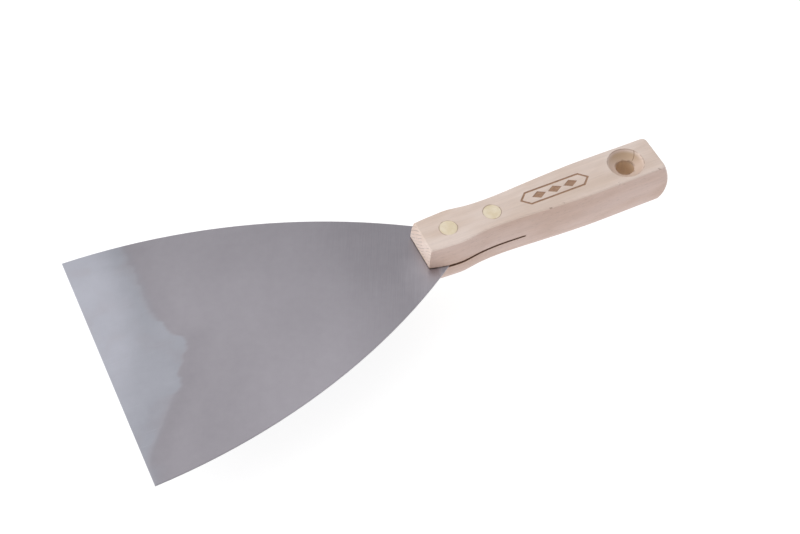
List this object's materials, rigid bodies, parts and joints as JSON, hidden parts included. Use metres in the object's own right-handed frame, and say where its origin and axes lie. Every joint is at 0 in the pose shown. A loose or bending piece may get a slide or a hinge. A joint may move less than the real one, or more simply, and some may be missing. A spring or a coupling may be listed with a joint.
{
  "type": "flexible putty knife",
  "caption": "Wide flexible putty knife: thin flared steel blade, its tang riveted into a sawn kerf in a waisted wooden handle with a dished hanging hole.",
  "frame": {"origin": "centre of the footprint, on the plane of the handle's lower flat face", "axes": "+X along the length, from the blade's front edge to the butt; +Z normal to the blade, out of the handle's marked face; +Y across the blade"},
  "size_m": [0.2594, 0.12, 0.021],
  "materials": {
    "spring_steel": "ground satin, slightly brighter towards the front edge",
    "beech": "sanded raw beech",
    "rivet_brass": "pale, sanded flush"
  },
  "bodies": {
    "handle": {"handle": "beech", "front_rivet_female": "rivet_brass", "front_rivet_male": "rivet_brass", "rear_rivet_female": "rivet_brass", "rear_rivet_male": "rivet_brass"},
    "blade": {"blade": "spring_steel"}
  },
  "joints": [
    {"name": "blade_flex", "type": "hinge", "parent": "handle", "child": "blade", "pos_m": [0.01175, 0, 0.0105], "axis": [0, 1, 0], "range_deg": [-12, 12], "stiffness_Nm_per_rad": 7.6, "deforming": ["blade"]}
  ]
}
